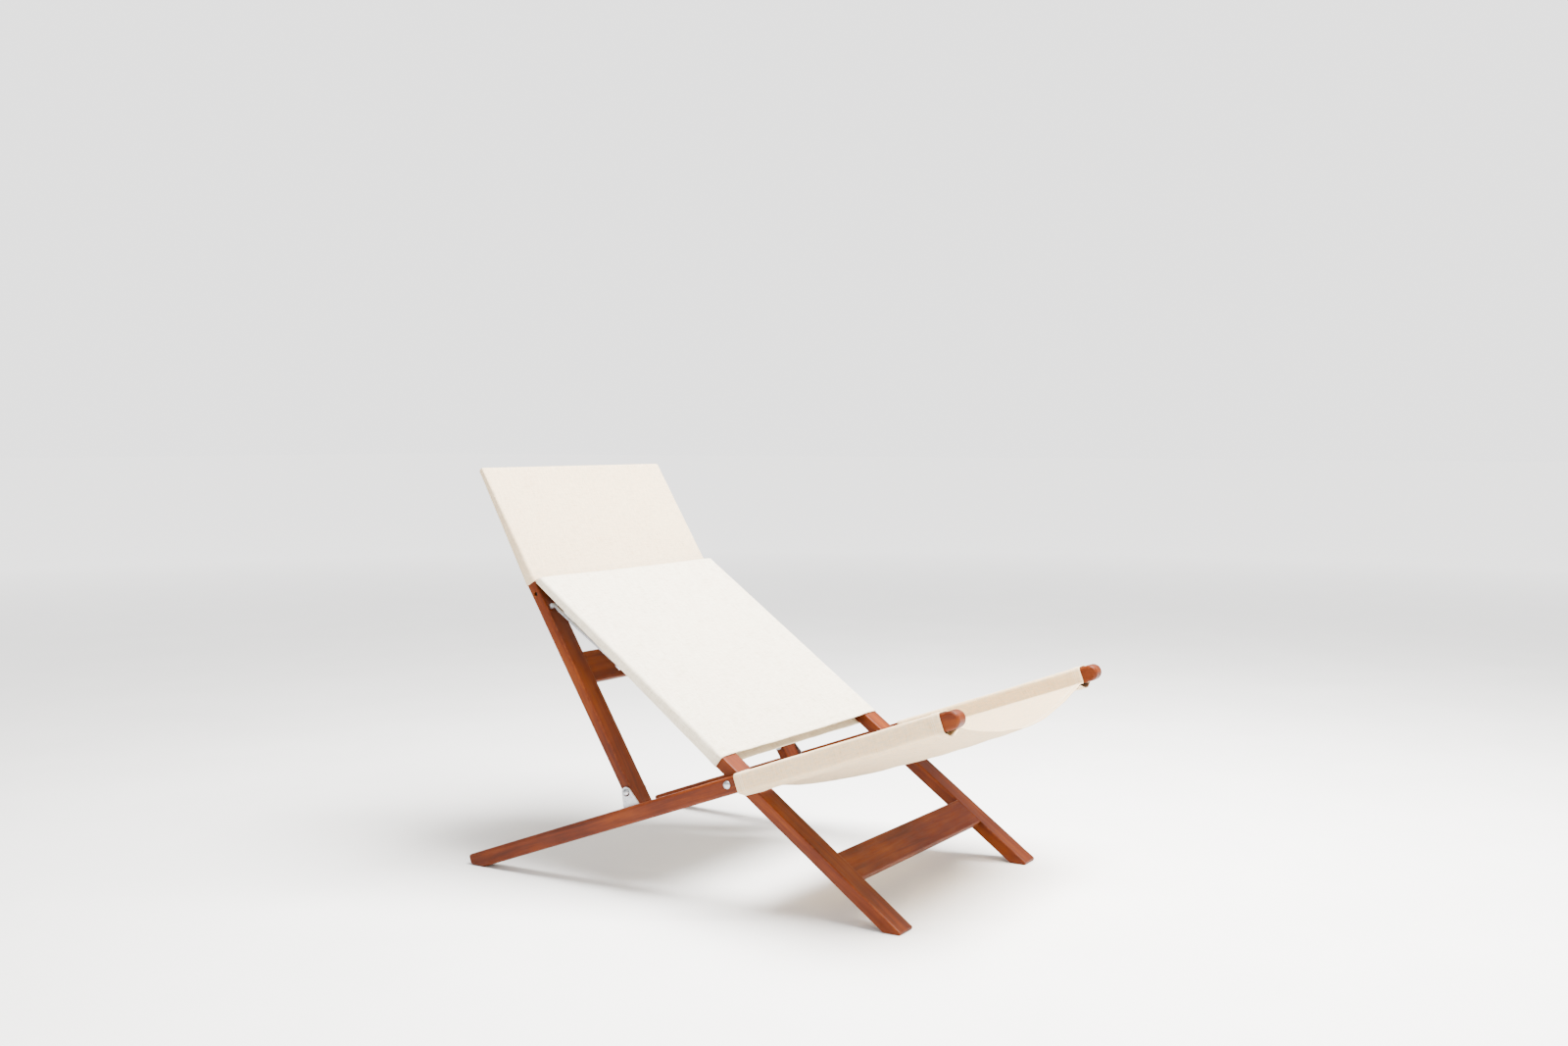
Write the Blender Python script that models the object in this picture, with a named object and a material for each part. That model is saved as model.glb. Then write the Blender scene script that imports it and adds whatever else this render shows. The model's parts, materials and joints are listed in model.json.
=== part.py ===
"""Folding wooden beach chair with a canvas seat, a canvas back and a canvas headrest.

Metres, +Z up. The chair faces -Y and is symmetric about X = 0; the sitter's right is -X.
Three frames share the load: the seat rails run from the rear feet up to the front tips, the
leg rails run from the front feet up inside the back canvas, and the strut rails stand on
the seat rails and carry the headrest. The seat rails turn on the leg rails at the main pivot,
the struts turn on the seat rails in steel brackets, and two steel stays tie the struts to
the leg rails while the chair is open.
"""
import math

import bmesh
import bpy
from mathutils import Matrix, Vector

# ---------------------------------------------------------------- driving dimensions
WIDTH = 0.670                       # over the outer faces of the seat rails
PIVOT_HEIGHT = 0.2342               # main pivot above the floor
SEAT_ANGLE = math.radians(19.92)    # seat rails rise forwards
BACK_ANGLE = math.radians(36.0)     # leg rails rise backwards
STRUT_ANGLE = math.radians(58.8)    # struts rise backwards

SEAT_RAIL_THICK = 0.032             # across the chair
SEAT_RAIL_DEPTH = 0.032
SEAT_RAIL_DROP = 0.003              # the rail's middle lies this far below the pivot line
SEAT_RAIL_FRONT = 0.4905            # pivot to the rounded front tip
SEAT_RAIL_REAR = 0.667              # pivot to the square rear end
SEAT_RAIL_EDGE = 0.0055             # rounding of the seat rails, which hands and legs touch

LEG_RAIL_THICK = 0.048
LEG_RAIL_DEPTH = 0.025
LEG_FOOT_RADIUS = 0.007
LEG_TAPER = 0.0105                  # the rail thins on its rear side inside the back canvas
LEG_TAPER_START = 0.020             # main pivot to the start of the taper
LEG_TAPER_END = 0.589
SIDE_GAP = 0.005                    # seat rail to leg rail, filled by a spacer

STRUT_THICK = 0.046
STRUT_DEPTH = 0.022
STRUT_FOOT_ALONG = 0.2554           # bracket bolt behind the main pivot, along the seat rail
STRUT_FOOT_ABOVE = 0.040            # bracket bolt above the pivot line of the seat rail
STRUT_TAIL = 0.042                  # strut below its bolt, beside the seat rail
STRUT_TAIL_RADIUS = 0.006
STRUT_TO_LOWER_RAIL = 0.433         # bracket bolt to the middle of the headrest's lower rail
STRUT_TO_HEM = 0.4565               # bracket bolt to the mouth of the headrest cover
STRUT_LENGTH = 0.700                # bracket bolt to the top of the strut
STRUT_TOP_DEPTH = 0.009             # the strut tapers to this inside the headrest
EDGE = 0.003                        # rounding of the wooden edges
PIECE_GAP = 0.0003                  # between two pieces that touch
LEAN_GAP = 0.002                    # leg rail's top to the front of the strut

BOARD_HEIGHT = 0.066
BOARD_THICK = 0.012
LEG_BOARD_TOP = 0.2168              # main pivot down to the leg board's upper edge
LEG_BOARD_INSET = 0.001             # board's front face behind the rail's front face
STRUT_BOARD_LOW = 0.229             # bracket bolt up to the strut board's lower edge
STRUT_BOARD_INSET = 0.0035
TENON = 0.014                       # depth of a board's end in its housing
BACK_RAIL_ALONG = 0.495             # main pivot to the rail hidden in the back canvas
BACK_RAIL_HEIGHT = 0.030
BACK_RAIL_THICK = 0.012
BACK_RAIL_FORWARD = 0.0035          # its middle in front of the leg rail's middle
LOWER_RAIL_HEIGHT = 0.024
LOWER_RAIL_THICK = 0.015
TOP_RAIL_HEIGHT = 0.0162

CANVAS = 0.0018                     # canvas thickness
CANVAS_EASE = 0.0004                # canvas to the wood under it
BACK_CANVAS_LOW = 0.052             # main pivot to the lower hem of the back canvas
SLING_FRONT = 0.458                 # main pivot forward to the front hem of the seat
SLEEVE_REAR = 0.020                 # main pivot forward to the rear end of the seat's sleeves
WEB_REAR = 0.044                    # main pivot forward to the rear hem of the seat
SLING_SAG = 0.036                   # below the underside of the seat rails

SCREW_WELL = 0.006                  # the headrest screws' heads below the strut's side
BOLT_RADIUS = 0.003
BOLT_HOLE_GAP = 0.0004
HEAD_RADIUS = 0.0078
HEAD_HEIGHT = 0.0042
NUT_RADIUS = 0.0058                 # to the corners
NUT_THICK = 0.005
WASHER_RADIUS = 0.009
WASHER_THICK = 0.0015
SPACER_RADIUS = 0.011

BRACKET_PLATE = 0.003
BRACKET_TOP_RADIUS = 0.0105
BRACKET_FRONT_BASE = 0.021
BRACKET_REAR_BASE = 0.016
BRACKET_SHOULDER = 0.016            # height at which the bracket reaches its full width
BRACKET_LOW = -0.012                # lower edge, from the pivot line of the seat rail
BRACKET_SCREW_OFFSET = 0.012
SCREW_RADIUS = 0.002
SCREW_LENGTH = 0.020
SCREW_HEAD_RADIUS = 0.004
SCREW_HEAD_THICK = 0.0013

STAY_RADIUS = 0.0035
STAY_INSET = 0.051                  # middle of the stay inside the seat rail's outer face
STAY_PIN_STANDOFF = 0.0062          # stay pin in front of the strut's front face
STAY_CLOSING = 0.0075               # the stay ends this much nearer the leg rail than it starts
STAY_CANVAS_GAP = 0.0012
STAY_PIN_RADIUS = 0.002
STAY_END = 0.003                    # rod beyond its pin
LUG_PLATE = 0.002
LUG_SIDE_GAP = 0.0008
LUG_RADIUS = 0.0045
LUG_SCREW_RADIUS = 0.0025
LUG_SCREW_LENGTH = 0.014
PEG_ALONG = 0.340                   # main pivot to the stay's peg
PEG_RADIUS = 0.0025
PEG_TILT = math.radians(33.0)       # the peg points down and back, the way the stay leaves it
PEG_OUT = 0.0075
PEG_IN = 0.016
STAY_TAB_RADIUS = 0.009
STAY_TAB_THICK = 0.003
STAY_TAB_HOLE = 0.0048

ARC_STEPS = 8
ROUND_SIDES = 20

# ---------------------------------------------------------------- derived places
HALF_WIDTH = WIDTH / 2
SEAT_RAIL_INNER = HALF_WIDTH - SEAT_RAIL_THICK
LEG_OUTER = SEAT_RAIL_INNER - SIDE_GAP
LEG_INNER = LEG_OUTER - LEG_RAIL_THICK
STRUT_INNER = LEG_OUTER - STRUT_THICK
SEAT_RAIL_TOP = SEAT_RAIL_DEPTH / 2 - SEAT_RAIL_DROP
SEAT_RAIL_LOW = -SEAT_RAIL_DEPTH / 2 - SEAT_RAIL_DROP
STAY_X = HALF_WIDTH - STAY_INSET

SIN_SEAT = math.sin(SEAT_ANGLE)
COS_SEAT = math.cos(SEAT_ANGLE)
REAR_REACH = SEAT_RAIL_REAR * COS_SEAT + SEAT_RAIL_TOP * SIN_SEAT
TIP_CENTRE = SEAT_RAIL_FRONT - SEAT_RAIL_DEPTH / 2
FRONT_REACH = TIP_CENTRE * COS_SEAT + SEAT_RAIL_DROP * SIN_SEAT + SEAT_RAIL_DEPTH / 2
PIVOT = Vector((0.0, (FRONT_REACH - REAR_REACH) / 2, PIVOT_HEIGHT))


def turned(place, angle):
    """Frame at place whose +Y runs along a rail that rises by angle towards the rear."""
    return Matrix.Translation(place) @ Matrix.Rotation(angle, 4, "X")


SEAT = turned(PIVOT, -SEAT_ANGLE)
BACK = turned(PIVOT, BACK_ANGLE)
STRUT = turned(SEAT @ Vector((0.0, STRUT_FOOT_ALONG, STRUT_FOOT_ABOVE)), STRUT_ANGLE)

# The stay lies just behind the back canvas, so its pin sits where that line passes the strut.
STAY_BEHIND = LEG_RAIL_DEPTH / 2 + CANVAS_EASE + CANVAS + STAY_CANVAS_GAP + STAY_RADIUS
STAY_PIN_FRONT = STRUT_DEPTH / 2 + STAY_PIN_STANDOFF
STRUT_IN_BACK = BACK.inverted() @ STRUT
PIN_ABOVE_ZERO = (STRUT_IN_BACK @ Vector((0.0, 0.0, STAY_PIN_FRONT))).z
PIN_RISE = math.sin(STRUT_ANGLE - BACK_ANGLE)
STAY_PIN_ALONG = (-STAY_BEHIND - PIN_ABOVE_ZERO) / PIN_RISE
STAY_PIN = STRUT @ Vector((0.0, STAY_PIN_ALONG, STAY_PIN_FRONT))
PEG_PLACE = Vector((0.0, PEG_ALONG, STAY_CLOSING - STAY_BEHIND))
STAY_REACH = (BACK @ PEG_PLACE) - STAY_PIN
STAY = turned(STAY_PIN, math.atan2(-STAY_REACH.z, -STAY_REACH.y))
PEG_IN_STAY = STAY.inverted() @ BACK @ PEG_PLACE

SIDES = (("right", -1.0), ("left", 1.0))


# ---------------------------------------------------------------- materials
def make_material(name, color, roughness, metallic=0.0):
    material = bpy.data.materials.new(name)
    material.use_nodes = True
    shader = material.node_tree.nodes["Principled BSDF"]
    shader.inputs["Base Color"].default_value = (*color, 1.0)
    shader.inputs["Roughness"].default_value = roughness
    shader.inputs["Metallic"].default_value = metallic
    return material


# ---------------------------------------------------------------- modelling helpers
def add_object(name, bm, parent, material=None, smooth=False):
    bmesh.ops.recalc_face_normals(bm, faces=bm.faces)
    mesh = bpy.data.meshes.new(name)
    bm.to_mesh(mesh)
    bm.free()
    obj = bpy.data.objects.new(name, mesh)
    bpy.context.collection.objects.link(obj)
    obj.parent = parent
    if material:
        mesh.materials.append(material)
    if smooth:
        mesh.shade_smooth()
        mesh.set_sharp_from_angle(angle=math.radians(40))
    return obj


def add_empty(name, frame):
    empty = bpy.data.objects.new(name, None)
    empty.empty_display_size = 0.03
    empty.matrix_world = frame
    bpy.context.collection.objects.link(empty)
    return empty


def extrude_outline(points, step):
    """Solid from a closed outline, moved along step."""
    bm = bmesh.new()
    face = bm.faces.new([bm.verts.new(point) for point in points])
    grown = bmesh.ops.extrude_face_region(bm, geom=[face])
    moved = [item for item in grown["geom"] if isinstance(item, bmesh.types.BMVert)]
    bmesh.ops.translate(bm, vec=step, verts=moved)
    return bm


def side_solid(name, outline, x_low, x_high, parent, material=None, smooth=False):
    """Outline of (y, z) points, extruded across the chair."""
    bm = extrude_outline([(x_low, y, z) for y, z in outline], (x_high - x_low, 0, 0))
    return add_object(name, bm, parent, material, smooth)


def section_solid(name, outline, y_low, y_high, parent, material=None):
    """Outline of (x, z) points, extruded along a rail."""
    bm = extrude_outline([(x, y_low, z) for x, z in outline], (0, y_high - y_low, 0))
    return add_object(name, bm, parent, material)


def box_solid(name, low, high, parent, material=None):
    outline = [(low[1], low[2]), (high[1], low[2]), (high[1], high[2]), (low[1], high[2])]
    return side_solid(name, outline, low[0], high[0], parent, material)


def rod_mesh(bm, start, end, radius, sides=ROUND_SIDES):
    start, end = Vector(start), Vector(end)
    span = end - start
    turn = span.to_track_quat("Z", "X").to_matrix().to_4x4()
    place = Matrix.Translation((start + end) / 2) @ turn
    bmesh.ops.create_cone(bm, cap_ends=True, segments=sides, radius1=radius, radius2=radius,
                          depth=span.length, matrix=place)


def rod_solid(name, start, end, radius, parent, material=None, sides=ROUND_SIDES):
    bm = bmesh.new()
    rod_mesh(bm, start, end, radius, sides)
    return add_object(name, bm, parent, material, smooth=True)


def as_tool(obj):
    obj.hide_render = True
    obj.display_type = "WIRE"
    return obj


def combine(target, tool, operation="DIFFERENCE"):
    modifier = target.modifiers.new(tool.name, "BOOLEAN")
    modifier.operation = operation
    modifier.solver = "EXACT"
    modifier.object = as_tool(tool)


def round_edges(obj, width=EDGE, segments=2):
    modifier = obj.modifiers.new("rounded_edges", "BEVEL")
    modifier.width = width
    modifier.segments = segments
    modifier.limit_method = "ANGLE"
    modifier.angle_limit = math.radians(40)


def drill(target, name, start, end, radius):
    combine(target, rod_solid(name, start, end, radius, target.parent))


def arc(centre, radius, start, stop, steps=ARC_STEPS):
    """Points round a centre, angles in degrees from +y towards +z."""
    turns = [math.radians(start + (stop - start) * i / steps) for i in range(steps + 1)]
    return [(centre[0] + radius * math.cos(t), centre[1] + radius * math.sin(t)) for t in turns]


def rounded_corner(before, corner, after, radius, steps=4):
    """Points that replace a corner of an outline by an arc."""
    corner = Vector(corner)
    back = (Vector(before) - corner).normalized()
    ahead = (Vector(after) - corner).normalized()
    half = back.angle(ahead) / 2
    reach = radius / math.tan(half)
    first = corner + back * reach
    last = corner + ahead * reach
    centre = corner + (back + ahead).normalized() * (radius / math.sin(half))
    points = []
    for i in range(steps + 1):
        ray = (first - centre).lerp(last - centre, i / steps).normalized() * radius
        points.append(tuple(centre + ray))
    return points


def spread(sign, inner, outer):
    """Low and high x of something that lies between two distances from the middle."""
    return sorted((sign * inner, sign * outer))


# ---------------------------------------------------------------- fasteners
def dome_head(bm, x_face, sign, y, z):
    """Low dome that stands on a face, turned from a quarter outline."""
    steps = 5
    profile = []
    for i in range(steps + 1):
        t = math.radians(90 * i / steps)
        profile.append((x_face + sign * HEAD_HEIGHT * math.sin(t), HEAD_RADIUS * math.cos(t)))
    verts = [bm.verts.new((x, y + r, z)) for x, r in profile]
    base = bm.verts.new((x_face, y, z))
    chain = [base] + verts
    edges = [bm.edges.new(pair) for pair in zip(chain, chain[1:])]
    bmesh.ops.spin(bm, geom=chain + edges, cent=(x_face, y, z), axis=(1, 0, 0),
                   angle=2 * math.pi, steps=ROUND_SIDES, use_merge=True)
    bmesh.ops.remove_doubles(bm, verts=bm.verts, dist=1e-6)


def carriage_bolt(name, sign, x_face, x_end, y, z, parent, material):
    bm = bmesh.new()
    dome_head(bm, sign * x_face, sign, y, z)
    bolt = add_object(name, bm, parent, material, smooth=True)
    overlap = HEAD_HEIGHT / 2
    shank = rod_solid(name + "_shank", (sign * (x_face + overlap), y, z), (sign * x_end, y, z),
                      BOLT_RADIUS, parent)
    combine(bolt, shank, "UNION")
    return bolt


def ring(name, sign, x_near, x_far, y, z, radius, hole, parent, material, sides=ROUND_SIDES):
    piece = rod_solid(name, (sign * x_near, y, z), (sign * x_far, y, z), radius, parent,
                      material, sides)
    margin = sign * 0.001
    drill(piece, name + "_hole", (sign * x_near + margin, y, z), (sign * x_far - margin, y, z), hole)
    return piece


# ---------------------------------------------------------------- seat frame
def floor_line_in_seat(along):
    """Height, in the seat frame, of the floor at a distance behind the pivot."""
    return (along * SIN_SEAT - PIVOT_HEIGHT) / COS_SEAT


def seat_rail_outline():
    middle = -SEAT_RAIL_DROP
    tip = arc((-TIP_CENTRE, middle), SEAT_RAIL_DEPTH / 2, 90, 270, 12)
    floor_start = (PIVOT_HEIGHT + SEAT_RAIL_LOW * COS_SEAT) / SIN_SEAT
    rear = [(floor_start, SEAT_RAIL_LOW), (SEAT_RAIL_REAR, floor_line_in_seat(SEAT_RAIL_REAR)),
            (SEAT_RAIL_REAR, SEAT_RAIL_TOP)]
    return tip + rear


def make_seat_rails(parent, wood):
    hole = BOLT_RADIUS + BOLT_HOLE_GAP
    for side, sign in SIDES:
        low, high = spread(sign, SEAT_RAIL_INNER, HALF_WIDTH)
        rail = side_solid(f"seat_rail_{side}", seat_rail_outline(), low, high, parent, wood, True)
        round_edges(rail, SEAT_RAIL_EDGE, 3)
        reach = 0.002
        drill(rail, f"seat_rail_bore_{side}", (low - reach, 0, 0), (high + reach, 0, 0), hole)
        for place, offset in (("front", -BRACKET_SCREW_OFFSET), ("rear", BRACKET_SCREW_OFFSET)):
            y = STRUT_FOOT_ALONG + offset
            start = (sign * (SEAT_RAIL_INNER - reach), y, -0.001)
            end = (sign * (SEAT_RAIL_INNER + SCREW_LENGTH), y, -0.001)
            drill(rail, f"screw_pilot_{place}_{side}", start, end, SCREW_RADIUS + PIECE_GAP)


def sleeve_outline(sign, clearance):
    """Section of a seat rail grown by a clearance, corners chamfered like the rounded wood."""
    x_low, x_high = spread(sign, SEAT_RAIL_INNER - clearance, HALF_WIDTH + clearance)
    z_low, z_high = SEAT_RAIL_LOW - clearance, SEAT_RAIL_TOP + clearance
    cut = clearance + 0.0008
    return [(x_low + cut, z_low), (x_high - cut, z_low), (x_high, z_low + cut),
            (x_high, z_high - cut), (x_high - cut, z_high), (x_low + cut, z_high),
            (x_low, z_high - cut), (x_low, z_low + cut)]


def sling_web_outline():
    """Hanging web between the sleeves: a shallow bow under the rails, one canvas thick."""
    steps = 16
    edge_x = SEAT_RAIL_INNER + CANVAS
    edge_z = SEAT_RAIL_LOW - CANVAS_EASE - CANVAS
    lower, upper = [], []
    for i in range(steps + 1):
        across = -1 + 2 * i / steps
        bow = SLING_SAG * (1 - across * across)
        lower.append((across * edge_x, edge_z - bow))
        upper.append((across * edge_x, edge_z - bow + CANVAS))
    return lower + upper[::-1]


def make_seat_sling(parent, canvas):
    outer = CANVAS_EASE + CANVAS
    sling = section_solid("seat_sling", sling_web_outline(), -SLING_FRONT, -WEB_REAR, parent, canvas)
    for side, sign in SIDES:
        sleeve = section_solid(f"sleeve_{side}", sleeve_outline(sign, outer), -SLING_FRONT,
                               -SLEEVE_REAR, parent)
        combine(sling, sleeve, "UNION")
    for side, sign in SIDES:
        tunnel = section_solid(f"sleeve_tunnel_{side}", sleeve_outline(sign, CANVAS_EASE),
                               -SLING_FRONT - 0.01, -SLEEVE_REAR + 0.01, parent)
        combine(sling, tunnel)


# ---------------------------------------------------------------- leg and back frame
def floor_line_in_back(height):
    """Distance along the leg rail, negative down, where the floor meets a given depth."""
    return -(PIVOT_HEIGHT + height * math.cos(BACK_ANGLE)) / math.sin(BACK_ANGLE)


def leg_rail_outline(top):
    half = LEG_RAIL_DEPTH / 2
    rear_foot = (floor_line_in_back(-half), -half)
    front_foot = (floor_line_in_back(half), half)
    foot = rounded_corner((LEG_TAPER_START, -half), rear_foot, front_foot, LEG_FOOT_RADIUS)
    toe = rounded_corner(rear_foot, front_foot, (top, half), LEG_FOOT_RADIUS / 2)
    return foot + toe + [(top, half), (top, leg_rear(top)), (LEG_TAPER_START, -half)]


def leg_rear(along, clearance=0.0):
    """Depth of the leg rail's rear face beyond the start of its taper."""
    slope = LEG_TAPER / (LEG_TAPER_END - LEG_TAPER_START)
    rise = slope * max(along - LEG_TAPER_START, 0.0)
    return -LEG_RAIL_DEPTH / 2 + rise - clearance * math.hypot(1.0, slope)


def cut_at_strut(target, name, strut_axis, clearance):
    """Cuts a piece of the back frame along the front of the struts and below the headrest."""
    front = STRUT_DEPTH / 2 + clearance
    high = STRUT_TO_HEM - LEAN_GAP
    behind = box_solid(name + "_mitre", (-HALF_WIDTH, 0, front - 0.2),
                       (HALF_WIDTH, STRUT_LENGTH, front), strut_axis)
    above = box_solid(name + "_top_cut", (-HALF_WIDTH - 0.01, high, front - 0.01),
                      (HALF_WIDTH + 0.01, high + 0.3, front + 0.3), strut_axis)
    combine(target, behind)
    combine(target, above)


def housing(target, name, sign, inner, low, high):
    """Blind housing for the end of a cross piece; low and high are (y, z)."""
    gap = PIECE_GAP
    x_low, x_high = spread(sign, inner - 0.01, inner + TENON + gap)
    tool = box_solid(name, (x_low, low[0] - gap, low[1] - gap),
                     (x_high, high[0] + gap, high[1] + gap), target.parent)
    combine(target, tool)


def leg_board_corners():
    front = LEG_RAIL_DEPTH / 2 - LEG_BOARD_INSET
    return (-LEG_BOARD_TOP - BOARD_HEIGHT, front - BOARD_THICK), (-LEG_BOARD_TOP, front)


def back_rail_corners():
    half = BACK_RAIL_THICK / 2
    return ((BACK_RAIL_ALONG - BACK_RAIL_HEIGHT / 2, BACK_RAIL_FORWARD - half),
            (BACK_RAIL_ALONG + BACK_RAIL_HEIGHT / 2, BACK_RAIL_FORWARD + half))


def peg_ends():
    """Inner and outer end of the stay's peg, in the back frame."""
    direction = Vector((0.0, -math.sin(PEG_TILT), -math.cos(PEG_TILT)))
    middle = PEG_PLACE
    return middle - direction * PEG_IN, middle + direction * PEG_OUT


def make_leg_rails(parent, strut_axis, wood):
    hole = BOLT_RADIUS + BOLT_HOLE_GAP
    top = STRUT_TO_HEM + STRUT_FOOT_ALONG
    inner_end, outer_end = peg_ends()
    for side, sign in SIDES:
        low, high = spread(sign, LEG_INNER, LEG_OUTER)
        rail = side_solid(f"leg_rail_{side}", leg_rail_outline(top), low, high, parent, wood, True)
        round_edges(rail)
        cut_at_strut(rail, f"leg_rail_{side}", strut_axis, LEAN_GAP)
        drill(rail, f"leg_rail_bore_{side}", (low - 0.002, 0, 0), (high + 0.002, 0, 0), hole)
        housing(rail, f"leg_board_housing_{side}", sign, LEG_INNER, *leg_board_corners())
        housing(rail, f"back_rail_housing_{side}", sign, LEG_INNER, *back_rail_corners())
        across = Vector((sign * STAY_X, 0, 0))
        drill(rail, f"peg_bore_{side}", inner_end + across, outer_end + across,
              PEG_RADIUS + PIECE_GAP)


def cross_piece(name, inner, corners, parent, material, edge=0.002):
    """Board or rail between two side rails, its ends let into both."""
    low, high = corners
    reach = inner + TENON
    board = box_solid(name, (-reach, *low), (reach, *high), parent, material)
    round_edges(board, edge, 1)
    return board


def make_back_canvas(parent, strut_axis, canvas):
    top = STRUT_TO_HEM + STRUT_FOOT_ALONG
    outer = CANVAS_EASE + CANVAS
    half = LEG_RAIL_DEPTH / 2

    def profile(clearance, low, high):
        return [(low, leg_rear(low, clearance)), (high, leg_rear(high, clearance)),
                (high, half + clearance), (low, half + clearance)]

    tube = side_solid("back_cover", profile(outer, BACK_CANVAS_LOW, top), -LEG_OUTER - outer,
                      LEG_OUTER + outer, parent, canvas)
    inside = side_solid("back_cover_inside",
                        profile(CANVAS_EASE, BACK_CANVAS_LOW - 0.01, top + 0.01),
                        -LEG_OUTER - CANVAS_EASE, LEG_OUTER + CANVAS_EASE, parent)
    combine(tube, inside)
    cut_at_strut(tube, "back_cover", strut_axis, LEAN_GAP)
    inner_end, outer_end = peg_ends()
    for side, sign in SIDES:
        across = Vector((sign * STAY_X, 0, 0))
        drill(tube, f"peg_slit_{side}", inner_end + across, outer_end + across,
              PEG_RADIUS + 2 * PIECE_GAP)


def make_pivots(seat_axis, zinc):
    """Bolt, spacer, washer and nut of the main pivot on each side."""
    hole = BOLT_RADIUS + BOLT_HOLE_GAP
    nut_near = LEG_INNER - WASHER_THICK - 2 * PIECE_GAP
    for side, sign in SIDES:
        carriage_bolt(f"pivot_bolt_{side}", sign, HALF_WIDTH + PIECE_GAP,
                      nut_near - NUT_THICK - 0.002, 0, 0, seat_axis, zinc)
        ring(f"pivot_spacer_{side}", sign, SEAT_RAIL_INNER - PIECE_GAP, LEG_OUTER + PIECE_GAP,
             0, 0, SPACER_RADIUS, hole, seat_axis, zinc)
        ring(f"pivot_washer_{side}", sign, LEG_INNER - PIECE_GAP,
             LEG_INNER - PIECE_GAP - WASHER_THICK, 0, 0, WASHER_RADIUS, hole, seat_axis, zinc)
        ring(f"pivot_nut_{side}", sign, nut_near, nut_near - NUT_THICK, 0, 0, NUT_RADIUS,
             BOLT_RADIUS + PIECE_GAP, seat_axis, zinc, 6)


# ---------------------------------------------------------------- struts and headrest
def strut_outline():
    half = STRUT_DEPTH / 2
    front_tail, rear_tail = (-STRUT_TAIL, half), (-STRUT_TAIL, -half)
    front = rounded_corner((STRUT_LENGTH, half), front_tail, rear_tail, STRUT_TAIL_RADIUS / 2)
    rear = rounded_corner(front_tail, rear_tail, (STRUT_TO_HEM, -half), STRUT_TAIL_RADIUS)
    top = [(STRUT_TO_HEM, -half), (STRUT_LENGTH, half - STRUT_TOP_DEPTH), (STRUT_LENGTH, half)]
    return front + rear + top


def strut_board_corners():
    front = STRUT_DEPTH / 2 - STRUT_BOARD_INSET
    return (STRUT_BOARD_LOW, front - BOARD_THICK), (STRUT_BOARD_LOW + BOARD_HEIGHT, front)


def lower_rail_corners():
    half = LOWER_RAIL_THICK / 2
    return ((STRUT_TO_LOWER_RAIL - LOWER_RAIL_HEIGHT / 2, -half),
            (STRUT_TO_LOWER_RAIL + LOWER_RAIL_HEIGHT / 2, half))


def make_struts(parent, wood):
    hole = BOLT_RADIUS + BOLT_HOLE_GAP
    for side, sign in SIDES:
        low, high = spread(sign, STRUT_INNER, LEG_OUTER)
        strut = side_solid(f"strut_{side}", strut_outline(), low, high, parent, wood, True)
        round_edges(strut)
        drill(strut, f"strut_bore_{side}", (low - 0.002, 0, 0), (high + 0.002, 0, 0), hole)
        housing(strut, f"strut_board_housing_{side}", sign, STRUT_INNER, *strut_board_corners())
        housing(strut, f"lower_rail_housing_{side}", sign, STRUT_INNER, *lower_rail_corners())
        y = STRUT_TO_LOWER_RAIL
        drill(strut, f"rail_screw_well_{side}", (sign * (LEG_OUTER + 0.002), y, 0),
              (sign * (LEG_OUTER - SCREW_WELL), y, 0), SCREW_HEAD_RADIUS + PIECE_GAP)
        drill(strut, f"rail_screw_way_{side}", (sign * LEG_OUTER, y, 0),
              (sign * STRUT_INNER, y, 0), SCREW_RADIUS + PIECE_GAP)
        pin = (sign * STAY_X, STAY_PIN_ALONG, 0)
        face = STRUT_DEPTH / 2
        drill(strut, f"lug_pilot_{side}", (pin[0], pin[1], face + 0.002),
              (pin[0], pin[1], face - LUG_SCREW_LENGTH - 0.001), LUG_SCREW_RADIUS + PIECE_GAP)


def make_headrest_rails(parent, wood, dark_steel):
    rail = cross_piece("headrest_lower_rail", STRUT_INNER, lower_rail_corners(), parent, wood)
    half = STRUT_DEPTH / 2
    low = STRUT_LENGTH + PIECE_GAP
    top = box_solid("headrest_top_rail", (-LEG_OUTER, low, half - STRUT_TOP_DEPTH),
                    (LEG_OUTER, low + TOP_RAIL_HEIGHT, half), parent, wood)
    round_edges(top, 0.0025)
    y = STRUT_TO_LOWER_RAIL
    for side, sign in SIDES:
        seat = LEG_OUTER - SCREW_WELL + PIECE_GAP
        tip = STRUT_INNER - 0.006
        drill(rail, f"rail_screw_pilot_{side}", (sign * (STRUT_INNER + 0.05), y, 0),
              (sign * (tip - 0.001), y, 0), SCREW_RADIUS + PIECE_GAP)
        screw = rod_solid(f"headrest_screw_{side}", (sign * (seat + SCREW_HEAD_THICK), y, 0),
                          (sign * seat, y, 0), SCREW_HEAD_RADIUS, parent, dark_steel)
        shank = rod_solid(f"headrest_screw_shank_{side}", (sign * (seat + 0.0005), y, 0),
                          (sign * tip, y, 0), SCREW_RADIUS, parent)
        combine(screw, shank, "UNION")


def headrest_profile(clearance, mouth):
    """Side outline of the headrest round the tapered struts, grown by a clearance."""
    half = STRUT_DEPTH / 2
    slope = (STRUT_DEPTH - STRUT_TOP_DEPTH) / (STRUT_LENGTH - STRUT_TO_HEM)
    shift = clearance * math.hypot(1.0, slope)
    mouth_rear = -half + slope * (mouth - STRUT_TO_HEM) - shift
    top_rear = half - STRUT_TOP_DEPTH - shift
    top = STRUT_LENGTH + PIECE_GAP + TOP_RAIL_HEIGHT + clearance
    return [(mouth, mouth_rear), (STRUT_LENGTH, top_rear), (top, top_rear),
            (top, half + clearance), (mouth, half + clearance)]


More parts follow.
